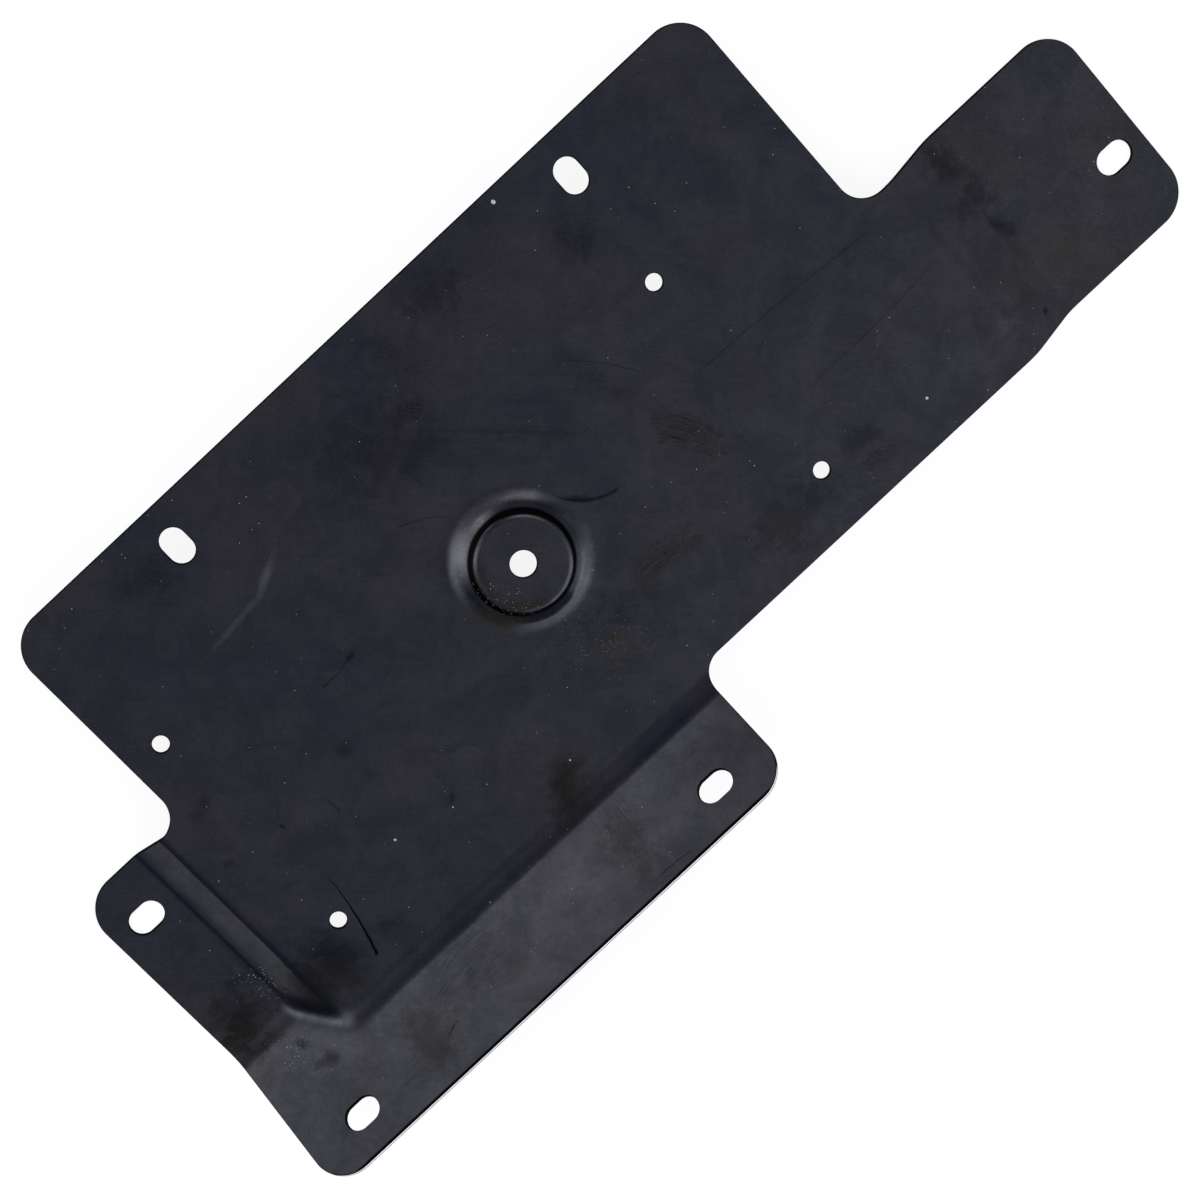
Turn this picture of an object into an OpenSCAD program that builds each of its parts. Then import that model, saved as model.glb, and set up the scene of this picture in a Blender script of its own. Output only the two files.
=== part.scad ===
// Amplifier mounting bracket: one folded sheet with a stepped strip at one end,
// a stepped tab at the other, a sloping flange along one long side and a drawn
// boss with a bolt hole in the plate.
// Layout: x runs along the plate from its left end, y from its lower long edge
// and z up from its top face. The finished part is moved so that its origin is
// the boss hole's centre at the boss's seat face.

/* [Sheet] */
// Thickness of the sheet
sheet_t = 1.5; // [1:0.1:3]
// Radius of the outer corners, seen from above
corner_r = 10; // [3:0.5:16]
// Radius of the two corners between the plate's ends and the strip and tab
inner_r = 7.5; // [3:0.5:12]

/* [Plate] */
// Length of the flat plate between its two ends
plate_l = 230.5; // [215:0.5:280]
// Width of the plate
plate_w = 126.5; // [115:0.5:160]

/* [Boss] */
// Boss hole's distance from the plate's left end
boss_x = 108; // [60:0.5:140]
// Boss hole's distance from the plate's lower edge
boss_y = 53; // [35:0.5:70]
// Diameter of the boss's flat seat
boss_seat_d = 24; // [14:0.5:32]
// Height of the seat above the plate
boss_h = 6; // [2:0.25:10]
// Rounding at the edge of the seat
boss_edge_r = 2; // [1.7:0.1:3]
// Radius of the flare at the foot of the boss
boss_flare_r = 5.5; // [2:0.25:9]
// Steepest angle of the boss's wall
boss_wall_angle = 70; // [35:1:80]
// Diameter of the boss hole
boss_hole_d = 7; // [4:0.1:12]

/* [Round holes] */
// Diameter of the small round holes
hole_d = 4.5; // [2.5:0.1:8]
// Distance between the small holes along the plate
hole_pitch_x = 170; // [120:0.5:190]
// Distance between the small holes across the plate
hole_pitch_y = 65; // [40:0.5:85]
// First small holes' distance from the plate's left end
hole_in = 10; // [6:0.5:20]
// Lower small holes' distance from the plate's lower edge
hole_up = 16.5; // [14:0.5:25]

/* [Slots] */
// Width of the slots
slot_w = 7; // [4:0.1:9]
// Length of the slots over their round ends
slot_l = 10; // [9.5:0.1:16]
// Distance between the plate's two slots
plate_slot_pitch = 134; // [90:0.5:150]
// First plate slot's distance from the plate's left end
plate_slot_in = 48.25; // [25:0.25:60]
// Plate slots' distance from the plate's upper edge
plate_slot_down = 11.5; // [8.5:0.25:18]

/* [Feet] */
// Step from the plate down to the strip and the tab
foot_drop = 9; // [4:0.25:14]
// Strip's outer edge past the plate's left end
strip_l = 36.5; // [34:0.5:60]
// Strip's upper edge above the plate's lower edge
strip_top = 63.5; // [50:0.5:80]
// Plate's left end to the start of the strip's step
strip_step_at = 4.5; // [1:0.25:8]
// Slope of the strip's step
strip_step_angle = 42; // [30:1:60]
// Bend radius of the strip's step, at mid sheet
strip_step_r = 5; // [3:0.25:8]
// Strip slot's distance from the strip's outer edge
strip_slot_in = 10.5; // [8:0.25:12]
// Strip slot's distance from the strip's upper edge
strip_slot_down = 14; // [10:0.25:25]
// Tab's outer edge past the plate's right end
tab_l = 69; // [55:0.5:90]
// Width of the tab, from the plate's lower edge
tab_w = 59; // [40:0.5:90]
// Plate's right end to the start of the tab's step
tab_step_at = 7.5; // [2:0.25:12]
// Slope of the tab's step
tab_step_angle = 31; // [20:1:50]
// Bend radius of the tab's step, at mid sheet
tab_step_r = 10; // [4:0.25:14]
// Tab slot's distance from the tab's outer edge
tab_slot_in = 9.5; // [8:0.25:15]
// Tab slot's distance from the plate's lower edge
tab_slot_up = 22; // [14:0.25:35]

/* [Flange] */
// Angle that the flange is folded up from the plate
flange_angle = 41; // [30:1:55]
// Fold line's distance outside the plate's lower edge
fold_out = 5.5; // [4:0.25:10]
// Inside radius of the fold
fold_r = 7; // [3:0.25:9]
// Flange's width from the fold line, along its slope
flange_w = 33; // [28:0.5:50]
// Flange's right end from the plate's left end
flange_end = 122; // [110:0.5:160]
// Radius of the corner between the plate's edge and the flange's right end
notch_r = 7; // [3:0.25:9]
// Distance between the flange's two slots
flange_slot_pitch = 124; // [90:0.5:130]
// First flange slot's distance from the flange's left end
flange_slot_in = 17.5; // [16:0.25:22]
// Flange slots' distance from the flange's outer edge
flange_slot_edge = 11.5; // [7:0.25:14]

/* [Hidden] */
$fn = 96;
bend_steps = 8;  // straight steps along each bend of the drawn corner
inset = 0.02;    // how far the drawn corner's faces lie inside its neighbours'
through = 200;   // height of the cutting solids
spare = 2;       // how far a section runs past the edge that trims it
dip = 0.002;     // how far a bend's arc dips past its two sides, so that they cross

// The steps down to the two feet, as [angle, bend radius at mid sheet]. The
// angle never passes that at which the two bends meet.
function step(angle, r, drop) = [min(angle, acos(max(1 - drop / (2 * r), -1))), r, drop];
function step_run(s) = 2 * s[1] * sin(s[0]) + (s[2] - 2 * s[1] * (1 - cos(s[0]))) / tan(s[0]);
strip_step = step(strip_step_angle, strip_step_r, foot_drop);
strip_foot_x = -strip_step_at - step_run(strip_step);
tab_step = step(tab_step_angle, tab_step_r, foot_drop);
tab_step_x = plate_l + tab_step_at;
tab_foot_x = tab_step_x + step_run(tab_step);
tab_end = plate_l + tab_l;

// The boss's wall is such a step too, with mid-sheet radii that are unlike:
// its mean radius is the same as that of the seat's edge and the flare together
boss_step = step(boss_wall_angle, (boss_edge_r + boss_flare_r) / 2, boss_h);
boss_foot_r = boss_seat_d / 2 + step_run(boss_step);

// The fold: its tangent length, and the whole millimetre at which its zone ends
fold_tangent = fold_r * tan(flange_angle / 2);
fold_zone_y = ceil(fold_tangent - fold_out + foot_drop / tan(flange_angle));

// Area between a hollow corner's two sides and an arc of radius r. The corner
// is at the origin, its sides go at angle a0 and at a0 plus turn plus 180.
module hollow_corner(a0, turn, r) {
    side = r * tan(turn / 2);
    first = side * [cos(a0), sin(a0)];
    second = side * [cos(a0 + 180 - turn), sin(a0 + 180 - turn)];
    centre = first + r * [-sin(a0), cos(a0)];
    difference() {
        polygon([first, centre, second, -0.4 * centre]);
        translate(centre * (1 - dip / norm(centre)))
            circle(r = r);
    }
}

// Area outside an arc of radius r that rounds off an edge. The edge is at the
// origin, its sides go at angle 180 and, turned down, at minus turn.
module edge_off(turn, r) {
    side = r * tan(turn / 2);
    difference() {
        polygon([
            [-side, -r],
            [side * cos(turn) + sin(turn), -side * sin(turn) + cos(turn)],
            [tan(turn / 2), 1],
            [-side, 1]
        ]);
        translate([-side, -r] * (1 - dip / norm([side, r])))
            circle(r = r);
    }
}

// Everything below one face of a sheet that steps down to the right at x = 0.
// r_up and r_down are that face's own bend radii, level is its height.
module below_step(s, r_up, r_down, level, x_from, x_to) {
    up = r_up * tan(s[0] / 2);
    down = step_run(s) - r_down * tan(s[0] / 2);
    difference() {
        union() {
            polygon([
                [x_from, -through],
                [x_to, -through],
                [x_to, level - s[2]],
                [down, level - s[2]],
                [up, level],
                [x_from, level]
            ]);
            translate([down, level - s[2]])
                hollow_corner(0, s[0], r_down);
        }
        translate([up, level])
            edge_off(s[0], r_up);
    }
}

// The sheet's section where it steps down; r_up and r_down are the upper face's
module step_section(s, r_up, r_down, x_from, x_to) {
    difference() {
        below_step(s, r_up, r_down, 0, x_from, x_to);
        below_step(s, r_up - sheet_t, r_down + sheet_t, -sheet_t, x_from - spare, x_to + spare);
    }
}

// The sheet along x, from the strip's outer edge to the tab's
module long_section() {
    half = sheet_t / 2;
    reach = plate_l / 2 + tab_step_at + spare;
    translate([-strip_step_at, 0])
        mirror([1, 0])
            step_section(strip_step, strip_step_r + half, strip_step_r - half, -reach, strip_l);
    translate([tab_step_x, 0])
        step_section(tab_step, tab_step_r + half, tab_step_r - half, -reach, tab_l);
}

// What is cut off a square corner at the origin to round it; the material lies
// toward +x and +y
module corner_off(r) {
    difference() {
        translate([-spare, -spare])
            square(r + spare);
        translate([r, r])
            circle(r = r);
    }
}

// The sheet's outline from above, down to the fold zone
module plan() {
    difference() {
        union() {
            square([plate_l, plate_w]);
            translate([-strip_l, 0])
                square([strip_l + spare, strip_top]);
            translate([-inner_r, 0])
                square([inner_r + spare, strip_top + inner_r]);
            square([tab_end, tab_w]);
            square([plate_l + inner_r, tab_w + inner_r]);
        }
        translate([0, plate_w])
            mirror([0, 1])
                corner_off(corner_r);
        translate([plate_l, plate_w])
            rotate(180)
                corner_off(corner_r);
        translate([-strip_l, strip_top])
            mirror([0, 1])
                corner_off(corner_r);
        translate([tab_end, tab_w])
            rotate(180)
                corner_off(corner_r);
        translate([tab_end, 0])
            mirror([1, 0])
                corner_off(corner_r);
        translate([-inner_r, strip_top + inner_r])
            circle(r = inner_r);
        translate([plate_l + inner_r, tab_w + inner_r])
            circle(r = inner_r);
        polygon([
            [-strip_l - spare, -spare],
            [flange_end + notch_r, -spare],
            [flange_end + notch_r, fold_zone_y],
            [-strip_l - spare, fold_zone_y]
        ]);
    }
}

// Plate, strip and tab down to the fold zone
module flats() {
    intersection() {
        translate([0, plate_w + spare, 0])
            rotate([90, 0, 0])
                linear_extrude(plate_w + 2 * spare)
                    long_section();
        translate([0, 0, -through / 2])
            linear_extrude(through)
                plan();
    }
}

// Everything below one face of the sheet across x at the fold. The sheet lies
// drop below the plate before it turns up, and deep is the face's depth in it.
module below_fold(drop, deep, y_from, up_to) {
    y = drop / tan(flange_angle) - fold_out + deep * tan(flange_angle / 2);
    z = -drop - deep;
    polygon([
        [y_from, -through],
        [y_from, z],
        [y, z],
        [y - up_to * cos(flange_angle), z + up_to * sin(flange_angle)],
        [y - up_to * cos(flange_angle), -through]
    ]);
    translate([y, z])
        hollow_corner(0, flange_angle, fold_r + deep);
}
module fold_section(drop) {
    up_to = flange_w + spare + drop / sin(flange_angle);
    difference() {
        below_fold(drop, 0, fold_zone_y + spare, up_to);
        below_fold(drop, sheet_t, fold_zone_y + 2 * spare, up_to + 2 * spare);
    }
}

// The fold and the flange along the plate, with the round inner corner at the
// flange's right end
module plate_fold() {
    difference() {
        translate([-strip_step_at, 0, 0])
            rotate([90, 0, 90])
                linear_extrude(strip_step_at + flange_end + notch_r + spare)
                    fold_section(0);
        translate([flange_end, -through - notch_r, -through / 2])
            cube(through);
        translate([flange_end + notch_r, -through, -through / 2])
            cube(through);
        translate([flange_end + notch_r, -notch_r, -through / 2])
            cylinder(h = through, r = notch_r);
    }
}

// The fold and the flange along the strip
module strip_fold() {
    translate([strip_foot_x, 0, 0])
        mirror([1, 0, 0])
            rotate([90, 0, 90])
                linear_extrude(strip_l + strip_foot_x + spare)
                    fold_section(foot_drop);
}

// The drawn corner, where the strip's step runs into the flange: as the sheet
// steps down, the fold's section slides down the flange's slope. Each station
// is [x, drop]; the upper and the lower face have their own.
function stations(r_up, r_down) = [
    [spare - strip_step_at, 0],
    for (i = [0:bend_steps])
        let (a = strip_step[0] * i / bend_steps)
            [-strip_step_at - r_up * sin(a), r_up * (1 - cos(a))],
    for (i = [bend_steps:-1:0])
        let (a = strip_step[0] * i / bend_steps)
            [strip_foot_x + r_down * sin(a), foot_drop - r_down * (1 - cos(a))],
    [strip_foot_x - spare, foot_drop]
];
function fold_points(station, deep) =
    let (
        x = station[0],
        drop = station[1],
        r = fold_r + deep,
        y0 = fold_tangent - fold_out + drop / tan(flange_angle),
        z0 = fold_r - drop,
        end = flange_w + spare
    )
    [
        [x, fold_zone_y + spare, z0 - r],
        for (i = [0:bend_steps])
            let (a = flange_angle * i / bend_steps)
                [x, y0 - r * sin(a), z0 - r * cos(a)],
        [
            x,
            -fold_out - end * cos(flange_angle) - deep * sin(flange_angle),
            end * sin(flange_angle) - deep * cos(flange_angle)
        ]
    ];
module drawn_corner() {
    half = sheet_t / 2 - inset;
    upper = stations(strip_step_r + half, strip_step_r - half);
    lower = stations(strip_step_r - half, strip_step_r + half);
    rows = len(upper);
    n = bend_steps + 3;
    b = rows * n;
    points = [
        for (s = upper) each fold_points(s, inset),
        for (s = lower) each fold_points(s, sheet_t - inset)
    ];
    faces = [
        for (i = [0:rows - 2], j = [0:n - 2])
            let (p = i * n + j, q = p + n)
                each [
                    [p, p + 1, q], [p + 1, q + 1, q],
                    [b + p, b + q, b + p + 1], [b + p + 1, b + q, b + q + 1]
                ],
        for (i = [0:rows - 2])
            let (p = i * n, q = p + n, u = p + n - 1, v = q + n - 1)
                each [
                    [p, q, b + p], [q, b + q, b + p],
                    [u, b + u, v], [v, b + u, b + v]
                ],
        for (j = [0:n - 2])
            let (p = j, u = (rows - 1) * n + j)
                each [
                    [p, b + p, p + 1], [p + 1, b + p, b + p + 1],
                    [u, u + 1, b + u], [u + 1, b + u + 1, b + u]
                ]
    ];
    polyhedron(points, faces, convexity = 4);
}

// Lays its children, drawn from above with the fold line on y = 0 and the
// flange toward +y, on the flange's slope
module on_flange() {
    translate([0, -fold_out, 0])
        rotate([180 - flange_angle, 0, 0])
            mirror([0, 0, 1])
                children();
}

// What trims the flange to its outline
module flange_trim() {
    on_flange()
        translate([0, 0, -through / 2])
            linear_extrude(through) {
                translate([-strip_l - spare, flange_w])
                    square([strip_l + flange_end + notch_r + 2 * spare, through]);
                translate([-strip_l, flange_w])
                    mirror([0, 1])
                        corner_off(corner_r);
                translate([flange_end, flange_w])
                    rotate(180)
                        corner_off(corner_r);
            }
    translate([-strip_l - through, -through, -through / 2])
        cube([through, 2 * through, through]);
}

// The drawn boss, turned from its section, with its round hole
module boss() {
    translate([boss_x, boss_y, boss_h])
        rotate_extrude()
            intersection() {
                translate([boss_seat_d / 2, 0])
                    step_section(boss_step, boss_edge_r, boss_flare_r, -boss_seat_d / 2, step_run(boss_step) + spare + 1);
                translate([boss_hole_d / 2, -through / 2])
                    square([boss_foot_r + spare - boss_hole_d / 2, through]);
            }
}

// A slot's cutting solid, centred, its length along x
module slot() {
    span = slot_l - slot_w;
    translate([-span / 2, 0, -through / 2])
        cylinder(h = through, d = slot_w);
    translate([span / 2, 0, -through / 2])
        cylinder(h = through, d = slot_w);
    translate([-span / 2, -slot_w / 2, -through / 2])
        cube([span, slot_w, through]);
}

// Every slot and round hole of the plate, strip, tab and flange
module holes() {
    for (x = [plate_slot_in, plate_slot_in + plate_slot_pitch])
        translate([x, plate_w - plate_slot_down, 0])
            rotate(90)
                slot();
    translate([strip_slot_in - strip_l, strip_top - strip_slot_down, 0])
        slot();
    translate([tab_end - tab_slot_in, tab_slot_up, 0])
        slot();
    for (x = [hole_in, hole_in + hole_pitch_x], y = [hole_up, hole_up + hole_pitch_y])
        translate([x, y, -through / 2])
            cylinder(h = through, d = hole_d);
    translate([boss_x, boss_y, -through / 2])
        cylinder(h = through, r = boss_foot_r + spare / 2);
    for (x = [flange_slot_in, flange_slot_in + flange_slot_pitch])
        on_flange()
            translate([x - strip_l, flange_w - flange_slot_edge, 0])
                slot();
}

module bracket_sheet() {
    color("#2b2c30")
        translate([-boss_x, -boss_y, -boss_h]) {
            difference() {
                union() {
                    flats();
                    plate_fold();
                    drawn_corner();
                    strip_fold();
                }
                flange_trim();
                holes();
            }
            boss();
        }
}

bracket_sheet();
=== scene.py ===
"""The amplifier mounting bracket: one folded steel sheet with a used satin black coat."""

import math

import bpy
import numpy as np
from mathutils import Matrix, Vector
from mathutils.geometry import delaunay_2d_cdt


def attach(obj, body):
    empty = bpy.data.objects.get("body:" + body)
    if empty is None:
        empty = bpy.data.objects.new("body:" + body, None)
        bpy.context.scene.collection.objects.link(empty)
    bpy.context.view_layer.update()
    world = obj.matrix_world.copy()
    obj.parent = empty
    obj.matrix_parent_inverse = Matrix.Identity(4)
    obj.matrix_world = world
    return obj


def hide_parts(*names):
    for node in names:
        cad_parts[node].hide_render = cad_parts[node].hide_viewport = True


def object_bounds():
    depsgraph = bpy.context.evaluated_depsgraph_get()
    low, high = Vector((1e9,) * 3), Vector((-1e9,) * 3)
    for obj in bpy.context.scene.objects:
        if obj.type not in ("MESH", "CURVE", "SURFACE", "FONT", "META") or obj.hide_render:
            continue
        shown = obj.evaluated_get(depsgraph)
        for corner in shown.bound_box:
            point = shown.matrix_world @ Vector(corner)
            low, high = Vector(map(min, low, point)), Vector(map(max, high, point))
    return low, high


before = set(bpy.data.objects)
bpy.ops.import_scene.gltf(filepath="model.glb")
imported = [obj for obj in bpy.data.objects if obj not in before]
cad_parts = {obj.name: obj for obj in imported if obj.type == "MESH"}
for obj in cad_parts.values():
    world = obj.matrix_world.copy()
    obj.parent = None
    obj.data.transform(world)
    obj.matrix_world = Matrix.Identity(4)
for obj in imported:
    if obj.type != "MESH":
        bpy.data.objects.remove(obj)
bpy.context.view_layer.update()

# The sheet's sizes are in millimetres. Layout: x from the plate's left end, y from its lower long
# edge, z from its top face. The frame's origin is the boss hole's centre at the seat, which is at
# BOSS in the layout.
SHEET = 1.5
BOSS = (108.0, 53.0, 6.0)
PLATE_LENGTH = 230.5
PLATE_WIDTH = 126.5
CORNER = 10.0
INNER_CORNER = 7.5
FOOT_DROP = 9.0
STRIP_EDGE = -36.5
STRIP_TOP = 63.5
TAB_EDGE = 299.5
TAB_WIDTH = 59.0
STRIP_STEP = dict(start=-4.5, angle=42.0, bend=5.0, drop=FOOT_DROP)
TAB_STEP = dict(start=238.0, angle=31.0, bend=10.0, drop=FOOT_DROP)
FLANGE_ANGLE = math.radians(41.0)
FOLD_OUT = 5.5
FOLD_RADIUS = 10.0
FLANGE_WIDTH = 33.0
FLANGE_END = 122.0
NOTCH = 7.0
FLANGE_REACH = 135.0
SEAT_RADIUS = 11.4
SEAT_ROUNDING = 1.8
WALL_ANGLE = 68.0
WALL_FOOT = 1.5
CONE_ANGLE = 42.0
CONE_RUN = 1.3
FLARE = 7.0
DRAWN_CORNER = (-10.0, 0.0)
DRAWN_REACH = 17.0
DRAWN_SOFTNESS = 2.0
EDGE_ROUNDING = 0.25

BOSS_HOLE_RADIUS = 3.5
SMALL_HOLE_RADIUS = 2.25
SMALL_HOLES = [(x, y, SMALL_HOLE_RADIUS) for x in (10.0, 180.0) for y in (16.5, 81.5)]
ROUND_HOLES = [(BOSS[0], BOSS[1], BOSS_HOLE_RADIUS)] + SMALL_HOLES
FLANGE_SLOT_INSET = 11.5
FLANGE_SLOT_V = -FOLD_OUT - (FLANGE_WIDTH - FLANGE_SLOT_INSET)
SLOTS = [
    (48.25, 115.0, "y"),
    (182.25, 115.0, "y"),
    (-26.0, 49.5, "x"),
    (290.0, 22.0, "x"),
    (-19.0, FLANGE_SLOT_V, "x"),
    (105.0, FLANGE_SLOT_V, "x"),
]
SLOT_WIDTH = 7.0
SLOT_LENGTH = 10.0

# How finely the mesh follows the sheet: points on arcs and lines, and then spacings, the ends of
# finely divided parts and the gap to the edges, in millimetres.
CORNER_POINTS = 25
HOLE_POINTS = 64
SLOT_END_POINTS = 29
BEND_POINTS = 11
SEAT_POINTS = 40
FOOT_POINTS = 20
FLARE_POINTS = 60
RING_POINTS = 96
STRIP_POINTS = 40
TAB_POINTS = 26
OUTLINE_SPACING = 0.5
FLAT_SPACING = 3.6
FOLD_SPACING = 3.0
DRAWN_SPACING = 1.1
FOLD_END = 130.0
BOSS_REACH = 22.0
RIM_GAP = 0.35


def step_run(angle, first, second, drop):
    """How far a step goes sideways, with bend radii first and second on one face."""
    mean = (first + second) / 2
    return 2 * mean * math.sin(angle) + (drop - 2 * mean * (1 - math.cos(angle))) / math.tan(angle)


def step_drop(d, angle, first, second, drop):
    """How far a face has gone down at distance d past the start of its step."""
    run = step_run(angle, first, second, drop)
    left = run - d
    convex = first - np.sqrt(np.maximum(first**2 - np.clip(d, 0, first) ** 2, 0))
    slope = first * (1 - math.cos(angle)) + (d - first * math.sin(angle)) * math.tan(angle)
    concave = drop - second + np.sqrt(np.maximum(second**2 - np.clip(left, 0, second) ** 2, 0))
    return np.select(
        [d <= 0, d < first * math.sin(angle), left > second * math.sin(angle), left > 0],
        [0.0 * d, convex, slope, concave],
        drop + 0.0 * d,
    )


def foot_step(step, d):
    half = SHEET / 2
    angle = math.radians(step["angle"])
    return step_drop(d, angle, step["bend"] + half, step["bend"] - half, step["drop"])


def drop_at(x):
    """The plate's, strip's or tab's upper face at x, below the plate."""
    return foot_step(STRIP_STEP, STRIP_STEP["start"] - x) + foot_step(TAB_STEP, x - TAB_STEP["start"])


def fold_start(drop):
    """The y at which the flat sheet begins to turn up into the flange."""
    return FOLD_RADIUS * math.tan(FLANGE_ANGLE / 2) - FOLD_OUT + drop / math.tan(FLANGE_ANGLE)


def boss_profile():
    """The boss's wall from the seat's edge outward, as distances from there and drops below the seat."""
    wall, cone = math.radians(WALL_ANGLE), math.radians(CONE_ANGLE)
    edge = np.linspace(0, wall, SEAT_POINTS)
    foot = np.linspace(wall, cone, FOOT_POINTS)
    flare = np.linspace(cone, 0, FLARE_POINTS)
    top = SEAT_ROUNDING * np.stack([np.sin(edge), 1 - np.cos(edge)])
    bend = WALL_FOOT * np.stack([math.sin(wall) - np.sin(foot), np.cos(foot) - math.cos(wall)])
    end = FLARE * np.stack([math.sin(cone) - np.sin(flare), np.cos(flare) - math.cos(cone)])
    cone_drop = CONE_RUN * math.tan(cone)
    wall_drop = BOSS[2] - top[1, -1] - bend[1, -1] - cone_drop - end[1, -1]
    bend += top[:, -1:] + [[wall_drop / math.tan(wall)], [wall_drop]]
    end += bend[:, -1:] + [[CONE_RUN], [cone_drop]]
    return np.hstack([top, bend, end])


BOSS_OUT, BOSS_DOWN = boss_profile()


def folded_height(x, y):
    """The upper face's height over the plate, with its bends and boss but no drawn corner."""
    drop = drop_at(x)
    into = np.where(x < FLANGE_REACH, np.maximum(fold_start(drop) - y, 0), 0)
    bend = FOLD_RADIUS - np.sqrt(np.maximum(FOLD_RADIUS**2 - np.minimum(into, FOLD_RADIUS) ** 2, 0))
    slope = -(y + FOLD_OUT) * math.tan(FLANGE_ANGLE)
    folded = np.where(into > FOLD_RADIUS * math.sin(FLANGE_ANGLE), slope, bend - drop)
    out = np.hypot(x - BOSS[0], y - BOSS[1]) - SEAT_RADIUS
    return folded + BOSS[2] - np.interp(out, BOSS_OUT, BOSS_DOWN)


def height_at(x, y):
    """The upper face's height over the plate: the folded height, evened out at the drawn corner."""
    away = np.hypot(x - DRAWN_CORNER[0], y - DRAWN_CORNER[1]) / DRAWN_REACH
    reach = DRAWN_SOFTNESS * np.clip(1 - away**2, 0, 1)
    total = folded_height(x, y)
    count = 1
    for ring, spokes in ((0.5, 6), (1.0, 12)):
        for spoke in range(spokes):
            turn = 2 * math.pi * (spoke + 0.5) / spokes
            side = ring * reach * math.cos(turn)
            ahead = ring * reach * math.sin(turn)
            total = total + folded_height(x + side, y + ahead)
            count += 1
    return total / count


def true_y(v):
    """The layout's y of v, which runs down the flange's slope past the fold line."""
    return np.where(v < -FOLD_OUT, -FOLD_OUT + (v + FOLD_OUT) * math.cos(FLANGE_ANGLE), v)


def flat_v(y):
    return np.where(y < -FOLD_OUT, -FOLD_OUT + (y + FOLD_OUT) / math.cos(FLANGE_ANGLE), y)


def on_sheet(flat, depth=0.0):
    """Points of the sheet, depth below its upper face, and the upper face's normals there."""
    x = flat[:, 0]
    y = true_y(flat[:, 1])
    near = 0.01  # how far to each side the heights are taken for the slopes
    slope_x = (height_at(x + near, y) - height_at(x - near, y)) / (2 * near)
    slope_y = (height_at(x, y + near) - height_at(x, y - near)) / (2 * near)
    normal = np.stack([-slope_x, -slope_y, np.ones_like(x)], axis=1)
    normal /= np.linalg.norm(normal, axis=1, keepdims=True)
    point = np.stack([x, y, height_at(x, y)], axis=1)
    return point - depth * normal, normal


def thinned(line):
    """Drops most points of a finely divided straight line where the sheet is flat along it."""
    straight = 1e-4
    kept_every = 6
    height = height_at(line[:, 0], true_y(line[:, 1]))
    bend = np.zeros(len(line))
    bend[1:-1] = np.abs(height[:-2] - 2 * height[1:-1] + height[2:])
    return line[(bend > straight) | (np.arange(len(line)) % kept_every == 0)]


def rounded_loop(corners):
    """A closed line with right-angled corners (x, v, radius)."""
    parts = []
    count = len(corners)
    for i in range(count):
        here = np.array(corners[i][:2])
        radius = corners[i][2]
        back = np.array(corners[i - 1][:2]) - here
        ahead = np.array(corners[(i + 1) % count][:2]) - here
        back /= np.linalg.norm(back)
        length = np.linalg.norm(ahead)
        ahead /= length
        turn = np.radians(np.linspace(0, 90, CORNER_POINTS))[:, None]
        centre = here + radius * (back + ahead)
        parts.append(centre - radius * (ahead * np.cos(turn) + back * np.sin(turn)))
        start = here + radius * ahead
        end = here + (length - corners[(i + 1) % count][2]) * ahead
        steps = max(2, math.ceil(np.linalg.norm(end - start) / OUTLINE_SPACING))
        share = np.linspace(0, 1, steps + 1)[1:-1, None]
        parts.append(thinned(start + share * (end - start)))
    return np.vstack(parts)


def outline():
    corners = [
        (STRIP_EDGE, -FOLD_OUT - FLANGE_WIDTH, CORNER),
        (FLANGE_END, -FOLD_OUT - FLANGE_WIDTH, CORNER),
        (FLANGE_END, 0.0, NOTCH),
        (TAB_EDGE, 0.0, CORNER),
        (TAB_EDGE, TAB_WIDTH, CORNER),
        (PLATE_LENGTH, TAB_WIDTH, INNER_CORNER),
        (PLATE_LENGTH, PLATE_WIDTH, CORNER),
        (0.0, PLATE_WIDTH, CORNER),
        (0.0, STRIP_TOP, INNER_CORNER),
        (STRIP_EDGE, STRIP_TOP, CORNER),
    ]
    loop = rounded_loop(corners)
    in_notch = (loop[:, 0] > FLANGE_END - 0.1) & (loop[:, 1] >= -NOTCH)
    loop[:, 1] = np.where(in_notch, flat_v(loop[:, 1]), loop[:, 1])
    return loop


def round_hole(x, v, radius):
    turn = np.radians(-np.linspace(0, 360, HOLE_POINTS, endpoint=False))
    return np.stack([x + radius * np.cos(turn), v + radius * np.sin(turn)], axis=1)


def slot_hole(x, v, along):
    half = (SLOT_LENGTH - SLOT_WIDTH) / 2
    turn = np.radians(-np.linspace(0, 180, SLOT_END_POINTS))
    end = np.stack([SLOT_WIDTH / 2 * np.sin(-turn) + half, SLOT_WIDTH / 2 * np.cos(turn)], axis=1)
    loop = np.vstack([end, -end])
    if along == "y":
        loop = np.stack([-loop[:, 1], loop[:, 0]], axis=1)
    return loop + [x, v]


def side_directions(loop):
    """Unit directions square to a loop, to its left, which is into the sheet."""
    ahead = np.roll(loop, -1, axis=0) - loop
    ahead /= np.linalg.norm(ahead, axis=1, keepdims=True)
    mean = ahead + np.roll(ahead, 1, axis=0)
    mean /= np.linalg.norm(mean, axis=1, keepdims=True)
    return np.stack([-mean[:, 1], mean[:, 0]], axis=1)


def inside(points, loop):
    """Which points lie inside a closed line."""
    x, y = points[:, :1], points[:, 1:]
    x1, y1 = loop[:, 0], loop[:, 1]
    x2, y2 = np.roll(x1, -1), np.roll(y1, -1)
    no_rise = 1e-12
    rise = np.where(y2 == y1, no_rise, y2 - y1)
    crosses = ((y1 > y) != (y2 > y)) & (x < (x2 - x1) * (y - y1) / rise + x1)
    return crosses.sum(axis=1) % 2 == 1


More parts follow.
